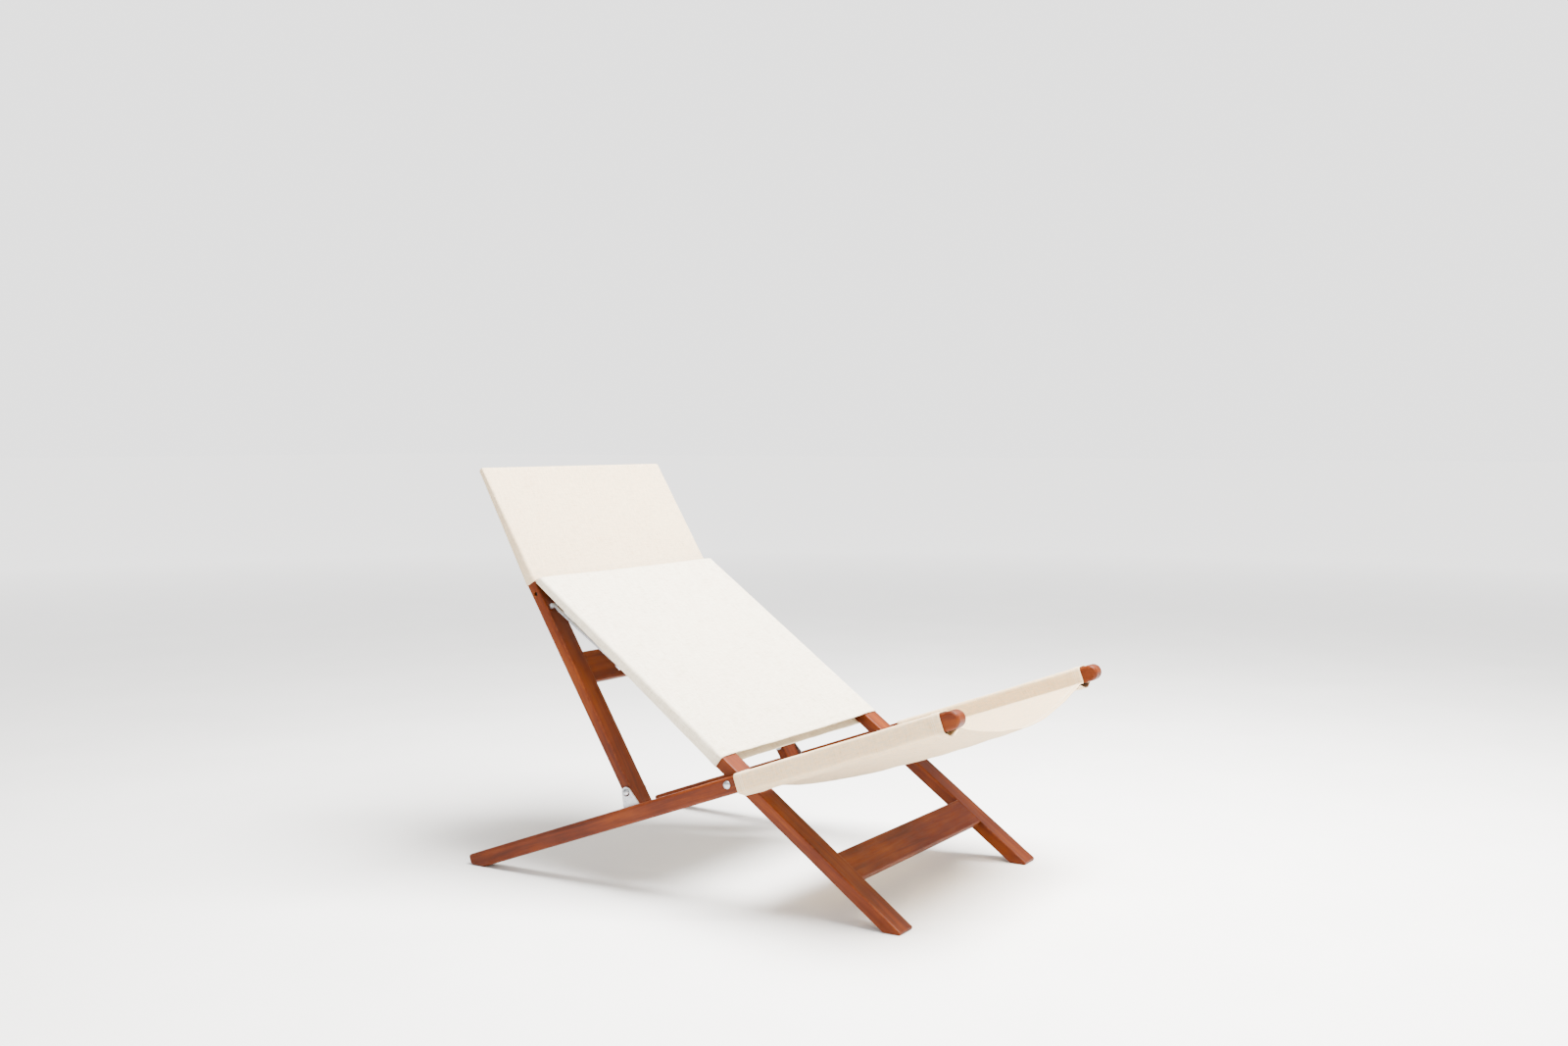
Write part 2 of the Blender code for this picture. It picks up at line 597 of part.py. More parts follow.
def make_headrest_cover(parent, canvas):
    outer = CANVAS_EASE + CANVAS
    cover = side_solid("headrest_cover", headrest_profile(outer, STRUT_TO_HEM),
                       -LEG_OUTER - outer, LEG_OUTER + outer, parent, canvas)
    inside = side_solid("headrest_cover_inside", headrest_profile(CANVAS_EASE, STRUT_TO_HEM - 0.01),
                        -LEG_OUTER - CANVAS_EASE, LEG_OUTER + CANVAS_EASE, parent)
    combine(cover, inside)


# ---------------------------------------------------------------- strut brackets
def bracket_outline():
    """Plate on the seat rail with a rounded ear round the strut's bolt."""
    crown = arc((STRUT_FOOT_ALONG, STRUT_FOOT_ABOVE), BRACKET_TOP_RADIUS, 10, 170, 10)
    front = STRUT_FOOT_ALONG - BRACKET_FRONT_BASE
    rear = STRUT_FOOT_ALONG + BRACKET_REAR_BASE
    return crown + [(front, BRACKET_SHOULDER), (front, BRACKET_LOW), (rear, BRACKET_LOW),
                    (rear, BRACKET_SHOULDER)]


def make_brackets(seat_axis, zinc):
    hole = BOLT_RADIUS + BOLT_HOLE_GAP
    y, z = STRUT_FOOT_ALONG, STRUT_FOOT_ABOVE
    outer_face = SEAT_RAIL_INNER - PIECE_GAP
    plate_inner = outer_face - BRACKET_PLATE
    nut_near = STRUT_INNER - WASHER_THICK - 2 * PIECE_GAP
    for side, sign in SIDES:
        low, high = spread(sign, plate_inner, outer_face)
        bracket = side_solid(f"strut_bracket_{side}", bracket_outline(), low, high, seat_axis, zinc)
        drill(bracket, f"bracket_bore_{side}", (sign * (outer_face + 0.002), y, z),
              (sign * (plate_inner - 0.002), y, z), hole)
        add_bracket_screws(bracket, side, sign, outer_face, seat_axis, zinc)
        carriage_bolt(f"strut_bolt_{side}", sign, SEAT_RAIL_INNER, nut_near - NUT_THICK - 0.002,
                      y, z, seat_axis, zinc)
        ring(f"strut_spacer_{side}", sign, plate_inner - PIECE_GAP, LEG_OUTER + PIECE_GAP,
             y, z, WASHER_RADIUS, hole, seat_axis, zinc)
        ring(f"strut_washer_{side}", sign, STRUT_INNER - PIECE_GAP,
             STRUT_INNER - PIECE_GAP - WASHER_THICK, y, z, WASHER_RADIUS, hole, seat_axis, zinc)
        ring(f"strut_nut_{side}", sign, nut_near, nut_near - NUT_THICK, y, z, NUT_RADIUS,
             BOLT_RADIUS + PIECE_GAP, seat_axis, zinc, 6)


def add_bracket_screws(bracket, side, sign, outer_face, seat_axis, zinc):
    """Two flush screws that hold the bracket to the inner face of the seat rail."""
    z = -0.001
    flush = outer_face - BRACKET_PLATE
    seat = flush + SCREW_HEAD_THICK
    for place, offset in (("front", -BRACKET_SCREW_OFFSET), ("rear", BRACKET_SCREW_OFFSET)):
        y = STRUT_FOOT_ALONG + offset
        drill(bracket, f"screw_sink_{place}_{side}", (sign * (flush - 0.002), y, z),
              (sign * (seat + PIECE_GAP), y, z), SCREW_HEAD_RADIUS + PIECE_GAP)
        drill(bracket, f"screw_way_{place}_{side}", (sign * flush, y, z),
              (sign * (outer_face + 0.002), y, z), SCREW_RADIUS + PIECE_GAP)
        screw = rod_solid(f"bracket_screw_{place}_{side}", (sign * flush, y, z),
                          (sign * seat, y, z), SCREW_HEAD_RADIUS, seat_axis, zinc)
        shank = rod_solid(f"bracket_screw_shank_{place}_{side}", (sign * (seat - 0.0005), y, z),
                          (sign * (SEAT_RAIL_INNER + SCREW_LENGTH - 0.001), y, z),
                          SCREW_RADIUS, seat_axis)
        combine(screw, shank, "UNION")


# ---------------------------------------------------------------- stays
def make_lugs(strut_axis, zinc):
    """Forked lug screwed into the front of each strut, with the pin the stay turns on."""
    face = STRUT_DEPTH / 2 + PIECE_GAP
    half_gap = STAY_RADIUS + LUG_SIDE_GAP
    half_outer = half_gap + LUG_PLATE
    y, z = STAY_PIN_ALONG, STAY_PIN_FRONT
    ear = arc((y, z), LUG_RADIUS, 0, 180) + [(y - LUG_RADIUS, face), (y + LUG_RADIUS, face)]
    slot_floor = face + 0.001
    for side, sign in SIDES:
        x = sign * STAY_X
        lug = side_solid(f"stay_lug_{side}", ear, x - half_outer, x + half_outer, strut_axis, zinc)
        slot = box_solid(f"lug_slot_{side}", (x - half_gap, y - 0.02, slot_floor),
                         (x + half_gap, y + 0.02, z + 0.02), strut_axis)
        combine(lug, slot)
        screw = rod_solid(f"lug_screw_{side}", (x, y, face + 0.0005),
                          (x, y, STRUT_DEPTH / 2 - LUG_SCREW_LENGTH), LUG_SCREW_RADIUS, strut_axis)
        combine(lug, screw, "UNION")
        drill(lug, f"lug_bore_{side}", (x - half_outer - 0.001, y, z),
              (x + half_outer + 0.001, y, z), STAY_PIN_RADIUS + PIECE_GAP)
        rod_solid(f"stay_pin_{side}", (x - half_outer - 0.001, y, z),
                  (x + half_outer + 0.001, y, z), STAY_PIN_RADIUS, strut_axis, zinc)


def make_stays(stay_axis, back_axis, zinc):
    bore_end, outer_end = peg_ends()
    inner_end = bore_end.lerp(outer_end, 0.04)
    tab_y, tab_z = PEG_IN_STAY.y, PEG_IN_STAY.z
    half = STAY_TAB_THICK / 2
    for side, sign in SIDES:
        x = sign * STAY_X
        rod = rod_solid(f"stay_rod_{side}", (x, STAY_END, 0), (x, tab_y + 0.0065, 0), STAY_RADIUS,
                        stay_axis, zinc)
        tab = rod_solid(f"stay_tab_{side}", (x, tab_y, tab_z - half), (x, tab_y, tab_z + half),
                        STAY_TAB_RADIUS, stay_axis)
        combine(rod, tab, "UNION")
        drill(rod, f"tab_hole_{side}", (x, tab_y, tab_z - 0.01), (x, tab_y, tab_z + 0.01),
              STAY_TAB_HOLE)
        drill(rod, f"stay_eye_{side}", (x - 0.01, 0, 0), (x + 0.01, 0, 0),
              STAY_PIN_RADIUS + PIECE_GAP)
        across = Vector((x, 0, 0))
        rod_solid(f"stay_peg_{side}", inner_end + across, outer_end + across, PEG_RADIUS,
                  back_axis, zinc)


# ---------------------------------------------------------------- whole chair
def clear_scene():
    for obj in list(bpy.data.objects):
        bpy.data.objects.remove(obj, do_unlink=True)


def build():
    clear_scene()
    wood = make_material("stained_beech", (0.30, 0.095, 0.035), 0.38)
    canvas = make_material("linen_canvas", (0.80, 0.76, 0.66), 0.92)
    zinc = make_material("zinc_steel", (0.62, 0.63, 0.64), 0.32, 1.0)
    dark_steel = make_material("dark_steel", (0.05, 0.045, 0.04), 0.5, 1.0)

    back_axis = add_empty("back_axis", BACK)
    seat_axis = add_empty("seat_axis", SEAT)
    strut_axis = add_empty("strut_axis", STRUT)
    stay_axis = add_empty("stay_axis", STAY)

    make_leg_rails(back_axis, strut_axis, wood)
    cross_piece("leg_board", LEG_INNER, leg_board_corners(), back_axis, wood)
    cross_piece("back_rail", LEG_INNER, back_rail_corners(), back_axis, wood)
    make_back_canvas(back_axis, strut_axis, canvas)
    make_pivots(seat_axis, zinc)

    make_seat_rails(seat_axis, wood)
    make_seat_sling(seat_axis, canvas)
    make_brackets(seat_axis, zinc)

    make_struts(strut_axis, wood)
    cross_piece("strut_board", STRUT_INNER, strut_board_corners(), strut_axis, wood)
    make_headrest_rails(strut_axis, wood, dark_steel)
    make_headrest_cover(strut_axis, canvas)
    make_lugs(strut_axis, zinc)
    make_stays(stay_axis, back_axis, zinc)


build()
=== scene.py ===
# %% [markdown]
# # A folding beach chair
# A low wood-and-canvas lounger. Three flat frames carry it: the seat rails, the leg rails
# with the back, and the struts with the headrest. The wood and the steel come finished in
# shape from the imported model, so this script gives them their surfaces and makes the three
# canvas pieces that a solid can only stand in for.

import json
import math

import bmesh
import bpy
from mathutils import Matrix, Vector, noise


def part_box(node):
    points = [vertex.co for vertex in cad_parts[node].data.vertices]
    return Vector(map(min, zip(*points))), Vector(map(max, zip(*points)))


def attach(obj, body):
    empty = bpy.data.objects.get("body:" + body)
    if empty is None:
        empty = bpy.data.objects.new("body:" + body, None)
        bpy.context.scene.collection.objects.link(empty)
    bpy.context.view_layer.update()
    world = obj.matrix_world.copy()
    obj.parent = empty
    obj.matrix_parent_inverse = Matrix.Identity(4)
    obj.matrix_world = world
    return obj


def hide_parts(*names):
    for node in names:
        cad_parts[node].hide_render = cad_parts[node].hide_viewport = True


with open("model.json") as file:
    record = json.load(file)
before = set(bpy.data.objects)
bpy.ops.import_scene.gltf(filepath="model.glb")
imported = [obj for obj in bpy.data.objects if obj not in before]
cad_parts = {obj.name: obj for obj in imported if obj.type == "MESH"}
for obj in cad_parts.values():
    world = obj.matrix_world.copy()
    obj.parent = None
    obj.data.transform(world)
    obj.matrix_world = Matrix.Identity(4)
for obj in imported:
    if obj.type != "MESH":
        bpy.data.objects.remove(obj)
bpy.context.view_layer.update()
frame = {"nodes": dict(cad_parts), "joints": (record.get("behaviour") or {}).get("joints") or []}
nodes = frame["nodes"]

# %% [markdown]
# The three frames lean at their own angles and meet at two joints. A local frame for each,
# with Y along its rails and Z out of its upper face, lets every canvas be drawn flat, in
# plain distances along and across the rails.

# %% Frames of the seat, the back and the headrest
SEAT_ANGLE = math.radians(19.92)
BACK_ANGLE = math.radians(36.0)
STRUT_ANGLE = math.radians(58.8)


def joint_place(name):
    joint = next(item for item in frame["joints"] if item["name"] == name)
    return Vector(joint["pos_m"])


def turned(place, angle):
    return Matrix.Translation(place) @ Matrix.Rotation(angle, 4, "X")


SEAT = turned(joint_place("seat_fold"), -SEAT_ANGLE)
BACK = turned(joint_place("seat_fold"), BACK_ANGLE)
STRUT = turned(joint_place("strut_fold"), STRUT_ANGLE)
print("main pivot", [round(c, 4) for c in SEAT.translation])

# %% [markdown]
# The canvas follows the wood it is pulled over, so its sizes come from the rails: how wide
# they stand, how deep they are, and the thickness of the cloth itself.

# %% Sizes of the wood under the canvas
HALF_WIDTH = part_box("seat_rail_left")[1].x
SEAT_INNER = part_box("seat_rail_left")[0].x
LEG_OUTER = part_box("leg_rail_left")[1].x
LEG_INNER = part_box("leg_rail_left")[0].x
SEAT_TOP, SEAT_LOW = 0.013, -0.019
LEG_HALF = 0.0125
STRUT_HALF = 0.011
STRUT_TOP_DEPTH = 0.009
CLOTH = 0.0013
EASE = 0.0006
print(f"seat rails {2000 * HALF_WIDTH:.0f} mm over all, leg rails {2000 * LEG_OUTER:.0f} mm")

# %% [markdown]
# ## Surfaces
# A node tree is easiest to read when it is built by small helpers: one adds a node and
# fills its sockets, one joins two values with arithmetic, one maps a value to a colour.

# %% Helpers for node materials
class Nodes:
    """A material under construction."""

    def __init__(self, name):
        self.material = bpy.data.materials.new(name)
        self.material.use_nodes = True
        self.tree = self.material.node_tree
        self.shader = self.tree.nodes["Principled BSDF"]

    def add(self, kind, settings=None, **sockets):
        node = self.tree.nodes.new(kind)
        for key, value in (settings or {}).items():
            setattr(node, key, value)
        for key, value in sockets.items():
            self.feed(node.inputs[key.replace("_", " ")], value)
        return node

    def feed(self, socket, value):
        if isinstance(value, bpy.types.NodeSocket):
            self.tree.links.new(value, socket)
        else:
            socket.default_value = value

    def math(self, operation, first, second=0.0):
        node = self.add("ShaderNodeMath", {"operation": operation})
        self.feed(node.inputs[0], first)
        self.feed(node.inputs[1], second)
        return node.outputs[0]

    def vector_math(self, operation, first, second=None):
        node = self.add("ShaderNodeVectorMath", {"operation": operation})
        self.feed(node.inputs[0], first)
        if second is not None:
            self.feed(node.inputs[1], second)
        return node

    def span(self, value, low, high, to_low=0.0, to_high=1.0):
        node = self.add("ShaderNodeMapRange", {"clamp": True}, Value=value)
        for index, number in enumerate((low, high, to_low, to_high), start=1):
            node.inputs[index].default_value = number
        return node.outputs[0]

    def noise(self, vector, scale, detail=3.0, roughness=0.5, distortion=0.0):
        node = self.add("ShaderNodeTexNoise", Vector=vector, Scale=scale, Detail=detail,
                        Roughness=roughness, Distortion=distortion)
        return node.outputs["Fac"]

    def ramp(self, value, stops):
        node = self.add("ShaderNodeValToRGB", Fac=value)
        elements = node.color_ramp.elements
        while len(elements) < len(stops):
            elements.new(0.5)
        for element, (place, color) in zip(elements, stops):
            element.position = place
            element.color = (*color, 1.0)
        return node.outputs["Color"]

    def mix(self, share, first, second, blend="MIX"):
        node = self.add("ShaderNodeMix", {"data_type": "RGBA", "blend_type": blend})
        self.feed(node.inputs["Factor"], share)
        for name, value in (("A", first), ("B", second)):
            socket = next(item for item in node.inputs
                          if item.name == name and item.type == "RGBA")
            self.feed(socket, (*value, 1.0) if isinstance(value, tuple) else value)
        return next(item for item in node.outputs if item.type == "RGBA")

    def bump(self, height, strength, distance, normal=None):
        node = self.add("ShaderNodeBump", Height=height, Strength=strength, Distance=distance)
        if normal:
            self.feed(node.inputs["Normal"], normal)
        return node.outputs["Normal"]

    def finish(self, **sockets):
        for key, value in sockets.items():
            self.feed(self.shader.inputs[key.replace("_", " ")], value)
        return self.material


def dress(obj, material):
    obj.data.materials.clear()
    obj.data.materials.append(material)


# %% [markdown]
# ### Stained beech
# Beech has a quiet grain: long, low-contrast figure along the rail and a great many short
# dark flecks. The stain is a red-brown that gathers in the flecks and wears thin on the
# edges. The varnish over it is satin, and a bevel-aware normal finds the edges to lighten.

# %% The wood
WOOD_DARK = (0.030, 0.0034, 0.0002)
WOOD_MID = (0.080, 0.0122, 0.0005)
WOOD_LIGHT = (0.145, 0.0290, 0.0010)
WOOD_EDGE = (0.28, 0.075, 0.008)


def wood_material(name, turn, seed):
    """Beech whose grain runs along local Y after the turn about the chair's X axis."""
    wood = Nodes(name)
    place = wood.add("ShaderNodeTexCoord").outputs["Object"]
    along = wood.add("ShaderNodeMapping", {"vector_type": "POINT"}, Vector=place,
                     Rotation=turn, Location=(seed, seed * 1.7, seed * 0.6)).outputs["Vector"]
    grain = wood.vector_math("MULTIPLY", along, (1.0, 0.06, 1.0)).outputs["Vector"]
    figure = wood.noise(grain, 70.0, 4.0, 0.6, 0.6)
    fine = wood.noise(grain, 420.0, 3.0, 0.7)
    broad = wood.noise(along, 9.0, 2.0, 0.5)
    short_grain = wood.vector_math("MULTIPLY", along, (1.0, 0.16, 1.0)).outputs["Vector"]
    flecks = wood.add("ShaderNodeTexVoronoi", {"feature": "F1"}, Vector=short_grain,
                      Scale=620.0).outputs["Distance"]
    fleck = wood.span(flecks, 0.10, 0.24, 1.0, 0.0)
    tone = wood.math("ADD", wood.math("MULTIPLY", figure, 0.62),
                     wood.math("ADD", wood.math("MULTIPLY", fine, 0.22),
                               wood.math("MULTIPLY", broad, 0.30)))
    color = wood.ramp(tone, [(0.36, WOOD_DARK), (0.55, WOOD_MID), (0.76, WOOD_LIGHT)])
    color = wood.mix(wood.math("MULTIPLY", fleck, 0.45), color, WOOD_DARK)
    soft = wood.add("ShaderNodeBevel", {"samples": 4}, Radius=0.003).outputs["Normal"]
    flat = wood.add("ShaderNodeNewGeometry").outputs["Normal"]
    facing = wood.vector_math("DOT_PRODUCT", soft, flat).outputs["Value"]
    edge = wood.span(facing, 0.995, 0.90)
    rub = wood.span(wood.noise(along, 130.0, 3.0), 0.42, 0.62)
    wear = wood.math("MULTIPLY", wood.math("MULTIPLY", edge, rub), 0.40)
    color = wood.mix(wear, color, WOOD_EDGE)
    rough = wood.span(wood.math("ADD", fine, wood.math("MULTIPLY", wear, 0.4)), 0.3, 0.8,
                      0.42, 0.62)
    height = wood.math("SUBTRACT", wood.math("MULTIPLY", fine, 0.5), fleck)
    normal = wood.bump(height, 0.22, 0.00025)
    return wood.finish(Base_Color=color, Roughness=rough, Normal=normal,
                       Specular_IOR_Level=0.14, Coat_Weight=0.02, Coat_Roughness=0.22)


ALONG_SEAT = (SEAT_ANGLE, 0.0, 0.0)
ALONG_BACK = (-BACK_ANGLE, 0.0, 0.0)
ALONG_STRUT = (-STRUT_ANGLE, 0.0, 0.0)
ACROSS = (0.0, 0.0, math.radians(90))
WOODEN = {
    "seat_rail_right": ALONG_SEAT, "seat_rail_left": ALONG_SEAT,
    "leg_rail_right": ALONG_BACK, "leg_rail_left": ALONG_BACK,
    "strut_right": ALONG_STRUT, "strut_left": ALONG_STRUT,
    "leg_board": ACROSS, "back_rail": ACROSS, "strut_board": ACROSS,
    "headrest_lower_rail": ACROSS, "headrest_top_rail": ACROSS,
}
for number, (node, turn) in enumerate(WOODEN.items()):
    dress(nodes[node], wood_material(f"stained_beech_{node}", turn, 0.37 * (number + 1)))
print(f"{len(WOODEN)} pieces of beech")

# %% [markdown]
# ### Zinc-plated steel
# Plating on small hardware is bright but never a mirror: faint spangle, hand marks that
# change the gloss, and a little grey oxide. The screws of the headrest are blackened.

# %% The steel
def steel_material(name, light, dark, rough_low, rough_high):
    steel = Nodes(name)
    place = steel.add("ShaderNodeTexCoord").outputs["Object"]
    cloud = steel.noise(place, 160.0, 4.0, 0.6)
    speck = steel.noise(place, 900.0, 2.0, 0.6)
    color = steel.ramp(steel.math("ADD", steel.math("MULTIPLY", cloud, 0.7),
                                  steel.math("MULTIPLY", speck, 0.3)),
                       [(0.35, dark), (0.65, light)])
    rough = steel.span(cloud, 0.3, 0.7, rough_low, rough_high)
    normal = steel.bump(speck, 0.12, 0.0002)
    return steel.finish(Base_Color=color, Roughness=rough, Metallic=1.0, Normal=normal)


zinc = steel_material("zinc_steel", (0.50, 0.51, 0.53), (0.25, 0.26, 0.28), 0.22, 0.42)
bright_zinc = steel_material("bright_zinc", (0.56, 0.57, 0.60), (0.36, 0.37, 0.40), 0.14, 0.28)
dark_steel = steel_material("dark_steel", (0.10, 0.09, 0.085), (0.04, 0.035, 0.03), 0.35, 0.55)
for name, obj in nodes.items():
    if name.startswith("headrest_screw"):
        dress(obj, dark_steel)
    elif name.startswith(("stay_rod", "stay_pin", "stay_peg")):
        dress(obj, bright_zinc)
    elif name.startswith(("pivot_", "bracket", "stay_lug", "strut_bolt", "strut_bracket",
                          "strut_spacer", "strut_washer", "strut_nut")):
        dress(obj, zinc)

# %% [markdown]
# ### Linen canvas
# The cloth is a plain weave of slubby linen and cotton. Its threads are a little over half
# a millimetre apart, so the weave is drawn in the cloth's own flat coordinates, kept in a
# UV map in metres. Slubs are short thick places in single threads: noise stretched along the warp,
# and again along the weft.

# %% The canvas
LINEN_LIGHT = (0.86, 0.805, 0.665)
LINEN_MID = (0.76, 0.685, 0.545)
LINEN_DARK = (0.55, 0.455, 0.315)
# painted shade: a beige tint multiplied in for cloth that lies in shade or takes warm light from
# below
PAINTED_SHADE_TINT = (0.86, 0.64, 0.385)
WEAVE_REPEAT = 0.0011                # one thread over and the next one under


def canvas_material(name, painted_shade):
    """Plain weave; painted_shade from 0, none, to 1, a beige painted shade with a warm tint."""
    cloth = Nodes(name)
    flat = cloth.add("ShaderNodeUVMap", {"uv_map": "cloth"}).outputs["UV"]
    parts = cloth.add("ShaderNodeSeparateXYZ", Vector=flat)
    turns = 2 * math.pi / WEAVE_REPEAT
    across = cloth.math("SINE", cloth.math("MULTIPLY", parts.outputs["X"], turns))
    along = cloth.math("SINE", cloth.math("MULTIPLY", parts.outputs["Y"], turns))
    weave = cloth.math("MULTIPLY", across, along)

    def stretched(scale, x_share, y_share, detail=3.0):
        place = cloth.vector_math("MULTIPLY", flat, (x_share, y_share, 1.0))
        return cloth.noise(place.outputs["Vector"], scale, detail, 0.65)

    warp_slub = stretched(420.0, 1.0, 0.08)
    weft_slub = stretched(420.0, 0.08, 1.0)
    cloud = stretched(16.0, 1.0, 1.0, 4.0)
    fleck = stretched(420.0, 1.0, 0.7, 2.0)
    thread = cloth.math("ADD", cloth.math("MULTIPLY", warp_slub, 0.5),
                        cloth.math("MULTIPLY", weft_slub, 0.5))
    patches = cloth.math("MULTIPLY", cloth.math("SUBTRACT", cloud, 0.5), 0.12)
    tone = cloth.math("ADD", thread, patches)
    tone = cloth.math("ADD", tone, cloth.math("MULTIPLY", weave, 0.035))
    # painted_shade also lifts the light stop and strengthens the dark flecks and the mottle, so
    # the cloth darkens as painted shade
    light_stop = 0.60 + 0.08 * painted_shade
    color = cloth.ramp(tone, [(0.34, LINEN_DARK), (0.46, LINEN_MID), (light_stop, LINEN_LIGHT)])
    dark_fleck = cloth.span(fleck, 0.66, 0.78)
    color = cloth.mix(cloth.math("MULTIPLY", dark_fleck, 0.16 + 0.2 * painted_shade), color, LINEN_DARK)
    # painted shade: the warm beige tint multiplied in
    color = cloth.mix(0.80 * painted_shade, color, PAINTED_SHADE_TINT, "MULTIPLY")
    mottle = cloth.span(stretched(230.0, 1.0, 0.40, 4.0), 0.44, 0.62)
    color = cloth.mix(cloth.math("MULTIPLY", mottle, 0.18 + 0.55 * painted_shade), color, LINEN_DARK)
    height = cloth.math("ADD", cloth.math("MULTIPLY", weave, 0.5),
                        cloth.math("MULTIPLY", thread, 1.4))
    normal = cloth.bump(height, 0.6, 0.0006)
    return cloth.finish(Base_Color=color, Roughness=0.93, Normal=normal, Sheen_Weight=0.12,
                        Sheen_Roughness=0.5, Specular_IOR_Level=0.25)


# One cloth in three shades. The headrest and the seat are darkened and warmed with painted shade
# for their steeper lie and the warm light from below. The back has almost none.
back_linen = canvas_material("linen_back", 0.05)
head_linen = canvas_material("linen_headrest_painted_shade", 0.75)
seat_linen = canvas_material("linen_seat_painted_shade", 1.0)


def thread_material():
    thread = Nodes("sewing_thread")
    place = thread.add("ShaderNodeTexCoord").outputs["Object"]
    twist = thread.noise(place, 1500.0, 2.0)
    color = thread.ramp(twist, [(0.3, (0.62, 0.56, 0.45)), (0.7, (0.84, 0.79, 0.68))])
    return thread.finish(Base_Color=color, Roughness=0.7,
                         Normal=thread.bump(twist, 0.3, 0.0002))


sewing_thread = thread_material()

# %% [markdown]
# ## Making cloth
# Each canvas is a grid of points: one direction runs round the rails, the other along
# them. A grid operator makes the flat cut, its UV map keeps the cut's own measure in
# metres, and a shape function bends each point into place. Solidify then gives the
# thickness of the cloth on its outer side.

# %% Cloth from a flat cut
HEM_PROUD = 0.0008                   # a turned hem stands out this far
HEM_SOFT = 0.0015                    # half the width of the step at its inner edge


def made_object(bm, name, material):
    """Puts a finished bmesh into the scene as an object of one material."""
    mesh = bpy.data.meshes.new(name)
    bm.to_mesh(mesh)
    bm.free()
    mesh.materials.append(material)
    obj = bpy.data.objects.new(name, mesh)
    bpy.context.scene.collection.objects.link(obj)
    return obj


class Cloth:
    """A cut of canvas: place(d, s) bends the point d across and s along into a local frame."""

    def __init__(self, name, across, along, place, local):
        self.name = name
        self.across = across
        self.along = along
        self.place = place
        self.local = local

    def point(self, d, s, lift=0.0):
        """World point and outward direction at a place of the cut."""
        step = 0.0004
        here = Vector(self.place(d, s))
        over = Vector(self.place(d + step, s)) - Vector(self.place(d - step, s))
        up = Vector(self.place(d, s + step)) - Vector(self.place(d, s - step))
        out = over.cross(up).normalized()
        return self.local @ (here + out * lift), self.local.to_3x3() @ out

    def build(self, material, closed=False):
        columns, rows = len(self.across) - 1, len(self.along) - 1
        bm = bmesh.new()
        uv = bm.loops.layers.uv.new("cloth")
        bmesh.ops.create_grid(bm, x_segments=columns, y_segments=rows, size=0.5)
        cut = {}
        for vert in bm.verts:
            d = self.across[round((vert.co.x + 0.5) * columns)]
            s = self.along[round((vert.co.y + 0.5) * rows)]
            cut[vert] = (d, s)
        for face in bm.faces:
            for loop in face.loops:
                loop[uv].uv = cut[loop.vert]
        for vert, (d, s) in cut.items():
            vert.co = self.local @ Vector(self.place(d, s))
        if closed:
            bmesh.ops.remove_doubles(bm, verts=bm.verts, dist=2e-5)
        obj = made_object(bm, self.name, material)
        obj.data.shade_smooth()
        thickness = obj.modifiers.new("cloth_thickness", "SOLIDIFY")
        thickness.thickness = CLOTH
        thickness.offset = 1.0
        print(f"{self.name}: {columns} x {rows} grid")
        return obj


def spaced(low, high, count):
    return [low + (high - low) * i / count for i in range(count + 1)]


def smooth_step(low, high, value):
    share = min(max((value - low) / (high - low), 0.0), 1.0)
    return share * share * (3 - 2 * share)


def wave(x, y, seed, size_x, size_y):
    """Gentle irregularity of real cloth, about -1 to 1, over lumps of a given size."""
    return noise.noise(Vector((x / size_x, y / size_y, seed)))


def hem_step(distance, width):
    """A turned hem lies one cloth prouder; distance is measured from the edge."""
    return HEM_PROUD * (1 - smooth_step(width - HEM_SOFT, width + HEM_SOFT, distance))


# %% [markdown]
# A sleeve or a flat tube is the same figure: a rectangle with rounded corners. The path
# keeps its own length from the first corner, so that a point of the cut always lands at
# its true distance round the wood.

# %% A rounded path round a pair of rails
class RoundedPath:
    """Closed path, clockwise seen along +Y: up one side, over the front, down, and back."""

    def __init__(self, half_width, low, high, radius):
        self.radius = radius
        self.corners = [(-half_width, low), (-half_width, high), (half_width, high),
                        (half_width, low)]
        height, width = high - low - 2 * radius, 2 * half_width - 2 * radius
        bend = math.pi * radius / 2
        self.pieces = [bend, height, bend, width, bend, height, bend, width]
        self.length = sum(self.pieces)

    def stations(self, bend_steps, side_steps, face_steps):
        counts = [bend_steps, side_steps, bend_steps, face_steps] * 2
        result, start = [0.0], 0.0
        for piece, count in zip(self.pieces, counts):
            result += [start + piece * (i + 1) / count for i in range(count)]
            start += piece
        return result

    def at(self, distance):
        """Point (x, z) and outward direction at a distance along the path."""
        distance %= self.length
        for number, piece in enumerate(self.pieces):
            if distance <= piece:
                break
            distance -= piece
        corner = number // 2
        x, z = self.corners[corner]
        sign_x, sign_z = math.copysign(1, x), (-1, 1, 1, -1)[corner]
        centre = Vector((x - sign_x * self.radius, z - sign_z * self.radius))
        first = math.radians((270, 180, 90, 0)[corner])
        turn = first - (distance / self.radius if number % 2 == 0 else math.pi / 2)
        out = Vector((math.cos(turn), math.sin(turn)))
        point = centre + out * self.radius
        if number % 2:
            run = Vector((math.sin(turn), -math.cos(turn)))
            point += run * distance
        return point, out


# %% [markdown]
# ## The back
# The back canvas is a flat tube pulled down over both leg rails. It is nearly drum-tight:
# the faces dip a couple of millimetres between the rails, and the cloth shows faint long
# folds near the rails where it is pulled hardest. Its top is cut along the struts.

